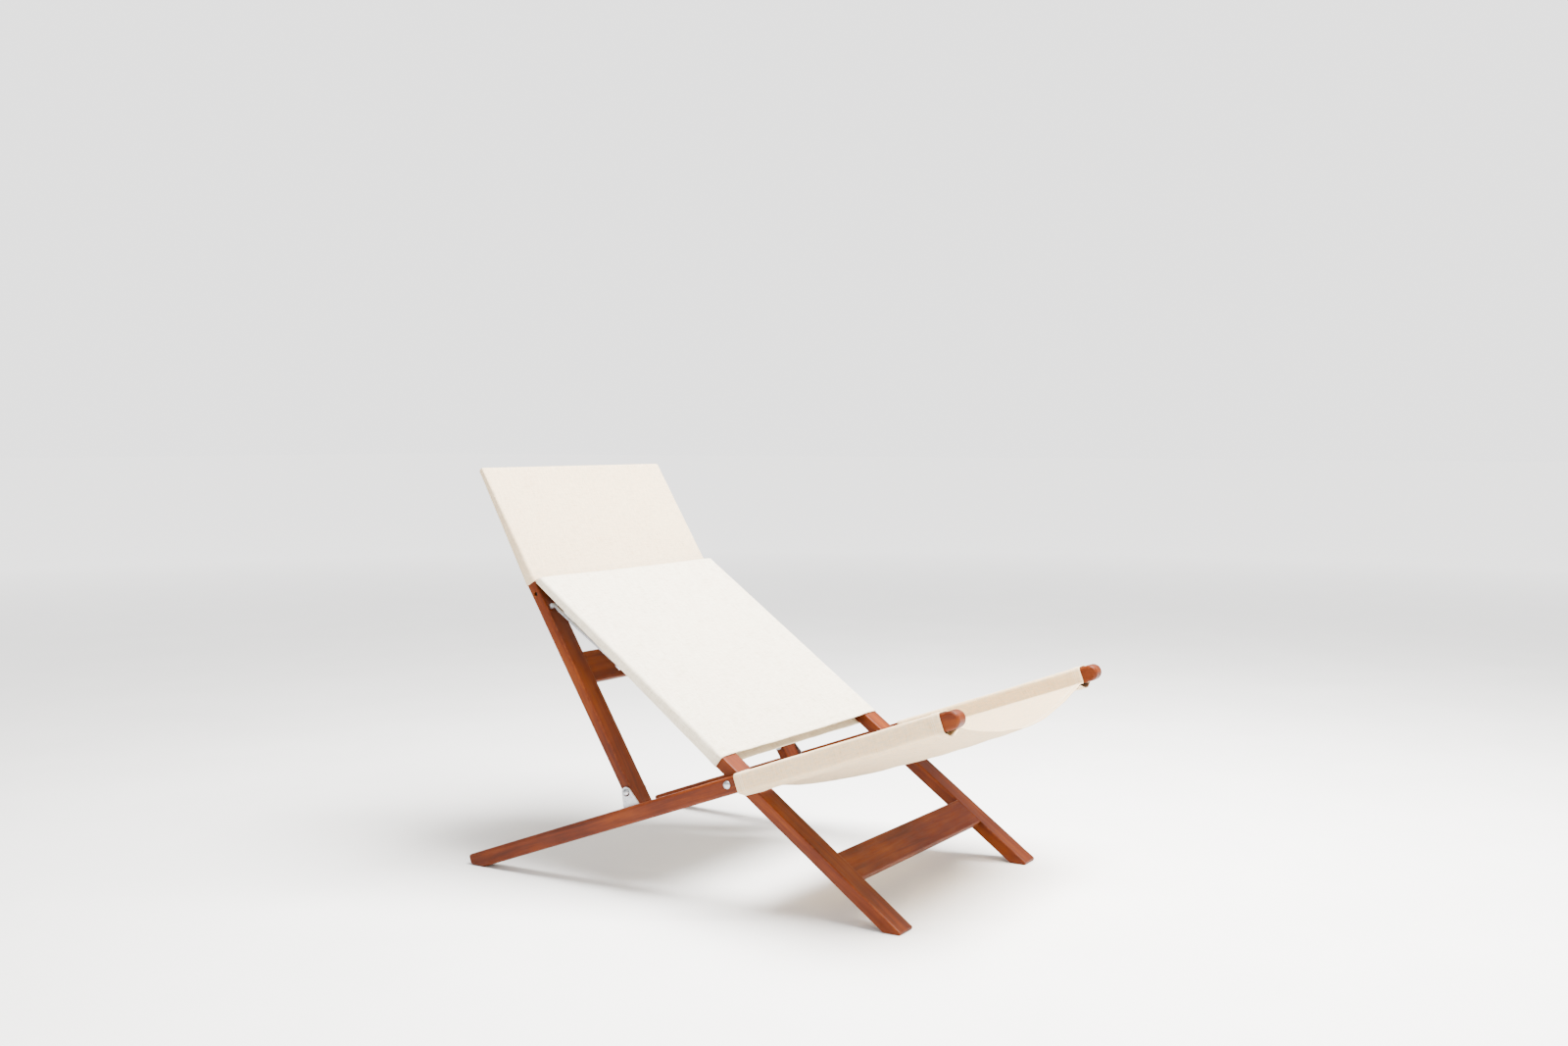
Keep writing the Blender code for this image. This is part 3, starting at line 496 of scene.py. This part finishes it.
# %% The back canvas
BACK_LOW = 0.052
HEM_WIDTH = 0.018
STRUT_TO_HEM = 0.4565
LEAN_GAP = 0.002
STRUT_FROM_BACK = STRUT.inverted() @ BACK
LEAN = STRUT_ANGLE - BACK_ANGLE
LEG_TAPER, LEG_TAPER_START, LEG_TAPER_END = 0.0105, 0.020, 0.589
BACK_CORNER = 0.0055
BACK_DIP = 0.0022                    # the tight face between the rails lies this much lower
BACK_RIPPLE = 0.0007                 # broad waves of the face
BACK_PULL = 0.00045                  # thin folds along the rails
BACK_WANDER = 0.0012                 # how far the hem strays from a straight line
FLATTEST = -0.0002                   # a fold never sinks deeper than this
back_path = RoundedPath(LEG_OUTER + EASE, -LEG_HALF - EASE, LEG_HALF + EASE, BACK_CORNER)


def leg_rear(along):
    """Depth of the leg rail's rear face, which thins towards its top."""
    share = max(along - LEG_TAPER_START, 0.0) / (LEG_TAPER_END - LEG_TAPER_START)
    return -LEG_HALF + LEG_TAPER * share


def back_top(depth):
    """Where the tube ends at a depth: at the front of the struts or under the headrest."""
    start = STRUT_FROM_BACK @ Vector((0.0, 0.0, depth))
    at_strut = (start.z - STRUT_HALF - LEAN_GAP - CLOTH) / math.sin(LEAN)
    at_headrest = (STRUT_TO_HEM - LEAN_GAP - start.y) / math.cos(LEAN)
    return min(at_strut, at_headrest)


BACK_LENGTH = back_top(LEG_HALF) - BACK_LOW


def back_place(d, s):
    """Wraps the cut round the leg rails: d runs round them, s from the hem to the top."""
    (x, flat_z), out = back_path.at(d)
    front = LEG_HALF + EASE
    depth_share = (flat_z + front) / (2 * front)
    z = front - (1 - depth_share) * (front - leg_rear(BACK_LOW + s) + EASE)
    top = back_top(z)
    along = BACK_LOW + (top - BACK_LOW) * s / BACK_LENGTH
    z = front - (1 - depth_share) * (front - leg_rear(along) + EASE)
    across = abs(x) / LEG_OUTER
    on_face = smooth_step(0.99, 0.90, across)
    free = smooth_step(0.86, 0.70, across)
    ends = smooth_step(0.0, 0.05, s) * smooth_step(BACK_LENGTH, BACK_LENGTH - 0.04, s)
    near_rail = smooth_step(0.55, 0.9, across)
    dip = BACK_DIP * free * (1 - (x / LEG_INNER) ** 2) * (1 if abs(x) < LEG_INNER else 0)
    ripple = BACK_RIPPLE * wave(x, along, 3.1 + math.copysign(1, z), 0.055, 0.16) * free
    pull = BACK_PULL * wave(x, along, 8.4, 0.011, 0.09) * on_face * near_rail
    edge = BACK_WANDER * wave(x, 0, 5.5, 0.06, 1.0) * (1 - smooth_step(0.0, 0.05, s))
    grow = (hem_step(s, HEM_WIDTH) + hem_step(BACK_LENGTH - s, HEM_WIDTH)
            + (ripple + max(pull, FLATTEST)) * ends - dip)
    face = 1 if depth_share > 0.5 else -1
    proud = 0 if across < 0.99 else hem_step(s, HEM_WIDTH)
    return (x + out.x * proud, along + edge * on_face, z + face * grow * on_face)


back_cloth = Cloth("back_canvas", back_path.stations(5, 4, 110), spaced(0, BACK_LENGTH, 120),
                   back_place, BACK)
back_canvas = back_cloth.build(back_linen, closed=True)
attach(back_canvas, "back_frame")
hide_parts("back_cover")

# %% [markdown]
# ## The headrest
# The headrest is a bag of linen whose beige tone is painted shade. It is closed at the top and
# pulled over the tapered struts and the rail between them. It narrows from front to back
# towards the top. Its mouth has a turned hem that stands a little off the wood.

# %% The headrest canvas
STRUT_LENGTH = 0.7
HEAD_TOP = 0.7165 + EASE
HEAD_RADIUS = 0.0042
HEAD_DIP = 0.0030
HEAD_SLACK = 0.0009
HEAD_PULL = 0.0004
HEAD_LIP = 0.0012                    # the mouth stands this far off the wood in places
HEAD_WANDER = 0.0010
head_path = RoundedPath(LEG_OUTER + EASE, -STRUT_HALF - EASE, STRUT_HALF + EASE, HEAD_RADIUS)
HEAD_SLOPE = (2 * STRUT_HALF - STRUT_TOP_DEPTH) / (STRUT_LENGTH - STRUT_TO_HEM)
TOP_HALF = STRUT_TOP_DEPTH / 2 + EASE
HEAD_LENGTH = HEAD_TOP - STRUT_TO_HEM + TOP_HALF * (math.pi / 2 - 1)


def head_place(d, s):
    """Wraps the cut round the tapered struts and rounds it over the top rail."""
    (x, z), out = head_path.at(d)
    bend_start = HEAD_LENGTH - TOP_HALF * math.pi / 2
    phi = max(0.0, (s - bend_start) / TOP_HALF)
    y = STRUT_TO_HEM + min(s, bend_start) + TOP_HALF * math.sin(phi)
    front = STRUT_HALF + EASE
    rear = min(-front + HEAD_SLOPE * (min(y, STRUT_LENGTH) - STRUT_TO_HEM), front - 2 * TOP_HALF)
    share = (z + front) / (2 * front)
    middle, half = (front + rear) / 2, (front - rear) / 2
    inset = TOP_HALF * (1 - math.cos(phi))
    depth = middle + (share * 2 - 1) * (half - inset)
    side = abs(x) / LEG_OUTER
    x_now = x - math.copysign(inset, x) * smooth_step(0.9, 1.0, side)
    on_face = smooth_step(0.99, 0.90, side)
    free = smooth_step(0.86, 0.68, side)
    sign = 1 if share > 0.5 else -1
    upper = smooth_step(HEAD_LENGTH, HEAD_LENGTH - 0.05, s)
    dip = HEAD_DIP * free * (1 - (x / LEG_OUTER) ** 2) * upper * smooth_step(0.0, 0.05, s)
    slack = HEAD_SLACK * wave(x, y, 12.0 + sign, 0.07, 0.10) * free * upper
    pull = HEAD_PULL * wave(x, y, 17.0, 0.012, 0.08) * smooth_step(0.6, 0.92, side) * upper
    lip = HEAD_LIP * (1 - smooth_step(0.0, 0.012, s)) * (0.5 + 0.5 * wave(x, 0, 21.0, 0.05, 1))
    edge = HEAD_WANDER * wave(x, 0, 23.0, 0.07, 1.0) * (1 - smooth_step(0.0, 0.05, s))
    grow = hem_step(s, HEM_WIDTH) + slack + max(pull, FLATTEST) + max(lip, 0.0) - dip
    return (x_now, y + edge * on_face, depth + sign * grow * on_face)


head_cloth = Cloth("headrest_canvas", head_path.stations(5, 4, 110),
                   spaced(0, HEAD_LENGTH - TOP_HALF * 1.5, 56)
                   + spaced(HEAD_LENGTH - TOP_HALF * 1.5, HEAD_LENGTH, 8)[1:],
                   head_place, STRUT)
headrest_canvas = head_cloth.build(head_linen, closed=True)
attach(headrest_canvas, "strut_frame")
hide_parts("headrest_cover")

# %% [markdown]
# ## The seat
# The seat is one cloth. From the middle it rises to each rail, goes up its inner side,
# over the top, down the outer side and back underneath, where it is lapped under the seat
# and sewn with two rows. Empty, it hangs in a shallow bow, deepest just in front of its
# middle.

# %% The seat canvas
SLING_FRONT = 0.458
SLEEVE_REAR = 0.020
SEAT_LENGTH = SLING_FRONT - SLEEVE_REAR
WEB_REAR = 0.044
SEAM_LEVEL = -0.0188                 # the cloth lies level from the rail to the seam
SLEEVE_TURN = 0.0035
SEAM_LINE = SEAT_INNER - 0.0185
LAP = 0.016
LAYER_GAP = 0.0016                   # the lapped layer lies this far under the panel
SEAT_BEND = 0.0052
SAG = 0.040                          # the bow at the rear hem
SAG_TO_FRONT = 0.0025
SAG_MIDDLE = 0.006
ROUND_OFF = 1.75                     # how the bow eases from its slope at the seam
SEAT_ROLL = 0.0022                   # broad waves of the slack panel
SEAT_WRINKLE = 0.0009
SEAT_PULL = 0.0014                   # slanting folds that run to the rails
SLEEVE_CREASE = 0.0015
FINE_CREASE = 0.0008
CREASE_FLOOR = -0.0003
BOW_OF_HEM = 0.0035                  # the front hem is drawn back in its middle


def seat_half_path():
    """Points (x, z) from the end of the panel round the left-hand rail to the lapped end."""
    inner, outer = SEAT_INNER - EASE, HALF_WIDTH + EASE
    low, high = SEAT_LOW - EASE, SEAT_TOP + EASE
    start, end = Vector((inner - SLEEVE_TURN, SEAM_LEVEL)), Vector((inner, SEAM_LEVEL + 0.0045))
    middle = Vector((inner - 0.0004, SEAM_LEVEL + 0.0004))
    points = [start.lerp(middle, i / 6).lerp(middle.lerp(end, i / 6), i / 6) for i in range(7)]

    def corner(x, z, first):
        for i in range(5):
            turn = math.radians(first - 90 * i / 4)
            points.append((x + SEAT_BEND * math.cos(turn), z + SEAT_BEND * math.sin(turn)))

    points.append((inner, (low + high) / 2 + 0.003))
    corner(inner + SEAT_BEND, high - SEAT_BEND, 180)
    corner(outer - SEAT_BEND, high - SEAT_BEND, 90)
    points.append((outer, (low + high) / 2))
    corner(outer - SEAT_BEND, low + SEAT_BEND - 0.001, 0)
    points.append((outer - 0.011, low - 0.0032))
    points.append(((inner + outer) / 2, low - 0.0068))
    points.append((inner + 0.005, low - 0.0078))
    points.append((inner - 0.004, low - 0.0068))
    points.append((inner - 0.012, low - 0.0036))
    points.append((SEAM_LINE, SEAM_LEVEL - LAYER_GAP))
    return points


def running_lengths(points):
    lengths = [0.0]
    for first, second in zip(points, points[1:]):
        lengths.append(lengths[-1] + math.dist(first, second))
    return lengths


sleeve_points = seat_half_path()
sleeve_runs = running_lengths(sleeve_points)
SLEEVE_ROUND = sleeve_runs[-1]
PANEL_HALF = SEAT_INNER - EASE - SLEEVE_TURN


def sag_at(y):
    """Depth of the empty seat at a place along the rails; y is negative towards the front."""
    share = min(max((-y - WEB_REAR) / (SLING_FRONT - WEB_REAR), 0.0), 1.0)
    return SAG + SAG_TO_FRONT * share + SAG_MIDDLE * math.sin(math.pi * share)


def panel_height(x, y):
    across = min(abs(x) / SEAM_LINE, 1.0)
    return SEAM_LEVEL - sag_at(y) * (1 - across ** ROUND_OFF)


def seat_rear(run):
    """The cut reaches further back on the sleeves than between them."""
    if not PANEL_HALF < run <= PANEL_HALF + SLEEVE_ROUND:
        return WEB_REAR
    round_share = (run - PANEL_HALF) / SLEEVE_ROUND
    return WEB_REAR + (SLEEVE_REAR - WEB_REAR) * (smooth_step(0.0, 0.24, round_share)
                                                  * smooth_step(0.86, 0.74, round_share))


def panel_point(side, run, y, s, hem, settle):
    x = side * run
    z = panel_height(x, y)
    free = smooth_step(SEAM_LINE, SEAM_LINE - 0.05, run)
    inside = smooth_step(SEAM_LINE, SEAM_LINE - 0.015, run)
    near_rail = smooth_step(PANEL_HALF - 0.17, PANEL_HALF - 0.03, run)
    z += SEAT_ROLL * wave(x, y, 31.0, 0.13, 0.10) * free
    z += SEAT_WRINKLE * wave(x, y, 37.0, 0.05, 0.035) * inside
    z += (SEAT_PULL * wave(x * 0.4, y + 0.7 * run, 53.0, 0.09, 0.024)
          * near_rail * free * settle)
    z += hem * 0.8
    y += BOW_OF_HEM * (1 - (run / PANEL_HALF) ** 2) * (1 - smooth_step(0.0, 0.10, s))
    return (x, y, z)


def sleeve_point(side, place, d, y, hem, settle):
    for number, (low, high) in enumerate(zip(sleeve_runs, sleeve_runs[1:])):
        if place <= high:
            break
    part = (place - low) / (high - low)
    first, second = Vector(sleeve_points[number]), Vector(sleeve_points[number + 1])
    point = first.lerp(second, min(part, 1.0))
    run_way = (second - first).normalized()
    out = Vector((-run_way.y, run_way.x))
    round_share = place / SLEEVE_ROUND
    ease = smooth_step(0.22, 0.36, round_share) * smooth_step(1.0, 0.9, round_share)
    hem *= 0.15 + 0.85 * smooth_step(0.20, 0.28, round_share)
    crease = (SLEEVE_CREASE * wave(d, y, 41.0, 0.012, 0.11)
              + FINE_CREASE * wave(d, y, 47.0, 0.007, 0.05))
    lift = hem + max(crease, CREASE_FLOOR) * ease * settle
    return (side * (point.x + out.x * lift), y, point.y + out.y * lift)


def seat_place(d, s):
    """Hangs the cut between the rails: d runs across from the middle, s to the rear."""
    side = 1 if d >= 0 else -1
    run = abs(d)
    hem = hem_step(s, HEM_WIDTH) + hem_step(SEAT_LENGTH - s, HEM_WIDTH)
    y = -SLING_FRONT + (SLING_FRONT - seat_rear(run)) * (s / SEAT_LENGTH)
    settle = smooth_step(0.0, 0.03, s) * smooth_step(SEAT_LENGTH, SEAT_LENGTH - 0.03, s)
    if run <= PANEL_HALF:
        return panel_point(side, run, y, s, hem, settle)
    if run <= PANEL_HALF + SLEEVE_ROUND:
        return sleeve_point(side, run - PANEL_HALF, d, y, hem, settle)
    x = side * (SEAM_LINE - (run - PANEL_HALF - SLEEVE_ROUND))
    return (x, y, panel_height(x, y) - LAYER_GAP)


across_half = ([PANEL_HALF * i / 64 for i in range(65)]
               + [PANEL_HALF + v for v in sleeve_runs[1:]]
               + [PANEL_HALF + SLEEVE_ROUND + LAP * i / 3 for i in range(1, 4)])
refined = []
for low, high in zip(across_half, across_half[1:]):
    pieces = max(1, round((high - low) / 0.0045)) if low >= PANEL_HALF else 1
    refined += [low + (high - low) * i / pieces for i in range(pieces)]
refined.append(across_half[-1])
seat_across = [-v for v in refined[:0:-1]] + refined
seat_cloth = Cloth("seat_canvas", seat_across, spaced(0, SEAT_LENGTH, 110), seat_place, SEAT)
seat_canvas = seat_cloth.build(seat_linen)
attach(seat_canvas, "seat_frame")
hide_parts("seat_sling")

# %% [markdown]
# ## Stitching
# The hems are held by two rows of lockstitch. A stitch is a short grain of thread, sunk a
# little into the cloth, so each one is a small stretched sphere laid on the cloth's own
# surface and turned to run with the row.

# %% Rows of stitches
STITCH = 0.0032
STITCH_PITCH = 0.0042
THREAD_WIDE = 0.00075
THREAD_PROUD = 0.0001
AHEAD = 0.002                        # the way of a row is taken over this length
HEM_ROWS = (0.0125, 0.0165)          # distances of the two rows from the hem's edge


def stitch_rows(name, cloth, rows, body):
    """rows: lists of (d, s) places on the cut; the stitches of all rows make one piece."""
    bm = bmesh.new()
    for places in rows:
        for first, second in zip(places, places[1:]):
            run = (Vector(second) - Vector(first)).length
            count = max(1, round(run / STITCH_PITCH))
            for i in range(count):
                share = (i + 0.5) / count
                d = first[0] + (second[0] - first[0]) * share
                s = first[1] + (second[1] - first[1]) * share
                here, out = cloth.point(d, s, CLOTH + THREAD_PROUD)
                ahead, _ = cloth.point(d + (second[0] - first[0]) * AHEAD / run,
                                       s + (second[1] - first[1]) * AHEAD / run,
                                       CLOTH + THREAD_PROUD)
                way = (ahead - here).normalized()
                side = out.cross(way).normalized()
                turn = Matrix((way * STITCH / 2, side * THREAD_WIDE / 2,
                               out * THREAD_WIDE / 2)).transposed().to_4x4()
                turn.translation = here
                bmesh.ops.create_icosphere(bm, subdivisions=1, radius=1.0, matrix=turn)
    obj = made_object(bm, name, sewing_thread)
    obj.data.shade_smooth()
    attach(obj, body)
    print(f"{name}: {len(obj.data.polygons) // 20} stitches")


def round_row(path, s):
    """A row right round a tube."""
    return [(d, s) for d in spaced(0.0005, path.length - 0.0005, 260)]


stitch_rows("back_stitching", back_cloth,
            [round_row(back_path, s) for s in HEM_ROWS], "back_frame")
stitch_rows("headrest_stitching", head_cloth,
            [round_row(head_path, s) for s in HEM_ROWS], "strut_frame")

SEAT_EDGE = PANEL_HALF + SLEEVE_ROUND - 0.002
seat_rows = []
for s in (*HEM_ROWS, *(SEAT_LENGTH - row for row in HEM_ROWS)):
    seat_rows.append([(d, s) for d in spaced(-SEAT_EDGE, SEAT_EDGE, 300)])
for inset in (0.003, 0.012):
    for side in (-1, 1):
        d = side * (SEAM_LINE - inset)
        seat_rows.append([(d, s) for s in spaced(0.004, SEAT_LENGTH - 0.004, 60)])
stitch_rows("seat_stitching", seat_cloth, seat_rows, "seat_frame")

# %% [markdown]
# ## Floor, light and camera
# A pale floor runs far out and begins to glow a few metres away, like a backdrop that is
# lit for itself, so no horizon draws the eye from the chair.

# %% Floor
FLOOR_HALF = 60.0
SWEEP_GLOW = 1.6
GLOW_FROM, GLOW_FULL = 2.4, 9.0      # metres from the chair


def floor_material():
    paint = Nodes("pale_floor")
    place = paint.add("ShaderNodeTexCoord").outputs["Object"]
    cloud = paint.noise(place, 3.0, 3.0)
    color = paint.ramp(cloud, [(0.3, (0.84, 0.835, 0.825)), (0.7, (0.88, 0.875, 0.865))])
    away = paint.vector_math("LENGTH", place).outputs["Value"]
    glow = paint.span(away, GLOW_FROM, GLOW_FULL, 0.0, SWEEP_GLOW)
    return paint.finish(Base_Color=color, Roughness=0.75, Emission_Strength=glow,
                        Emission_Color=(1.0, 0.99, 0.98, 1.0))


def studio_floor():
    bm = bmesh.new()
    bmesh.ops.create_grid(bm, x_segments=1, y_segments=1, size=FLOOR_HALF)
    made_object(bm, "studio_floor", floor_material())


studio_floor()

# %% [markdown]
# One broad lamp hangs overhead and a little in front. A weak one fills from the side of
# the camera, and a low warm one stands in for the light that comes back from below the
# seat. The world gives the rest, and looks brighter to the camera than it shines on the
# chair.

# %% Light
def area_light(name, place, target, size, power, color=(1.0, 1.0, 1.0)):
    data = bpy.data.lights.new(name, "AREA")
    data.shape = "RECTANGLE"
    data.size, data.size_y = size
    data.energy = power
    data.color = color
    light = bpy.data.objects.new(name, data)
    bpy.context.scene.collection.objects.link(light)
    light.location = place
    light.visible_camera = False
    light.rotation_euler = (Vector(target) - Vector(place)).to_track_quat("-Z", "Y").to_euler()


area_light("overhead", (0.3, -0.9, 2.9), (0.0, 0.0, 0.2), (2.4, 2.0), 820.0,
           (1.0, 0.985, 0.96))
area_light("camera_side", (-2.6, -2.2, 1.9), (0.0, 0.0, 0.3), (1.8, 1.4), 12.0,
           (1.0, 0.97, 0.93))
area_light("floor_bounce", (-1.9, -0.5, 0.06), (0.0, -0.1, 0.35), (1.6, 0.5), 14.0,
           (1.0, 0.66, 0.40))
world = bpy.data.worlds.new("studio")
bpy.context.scene.world = world
world.use_nodes = True
background = world.node_tree.nodes["Background"]
background.inputs["Color"].default_value = (0.95, 0.945, 0.94, 1.0)
seen = world.node_tree.nodes.new("ShaderNodeLightPath")
strength = world.node_tree.nodes.new("ShaderNodeMapRange")
strength.inputs["To Min"].default_value = 1.15               # what lights the chair
strength.inputs["To Max"].default_value = 1.0 + SWEEP_GLOW   # what is seen behind it
world.node_tree.links.new(seen.outputs["Is Camera Ray"], strength.inputs["Value"])
world.node_tree.links.new(strength.outputs["Result"], background.inputs["Strength"])

# %% [markdown]
# The camera stands at hip height, off the chair's right front corner, and looks down by a
# few degrees.

# %% Camera
camera_data = bpy.data.cameras.new("camera")
camera_data.lens = 37.19
camera_data.sensor_width = 36.0
camera = bpy.data.objects.new("camera", camera_data)
bpy.context.scene.collection.objects.link(camera)
camera.location = (-2.765, -1.699, 0.866)
PITCH = math.radians(3.04)
forward = Vector((0.852 * math.cos(PITCH), 0.5235 * math.cos(PITCH), -math.sin(PITCH)))
camera.rotation_euler = forward.to_track_quat("-Z", "Y").to_euler()
bpy.context.scene.camera = camera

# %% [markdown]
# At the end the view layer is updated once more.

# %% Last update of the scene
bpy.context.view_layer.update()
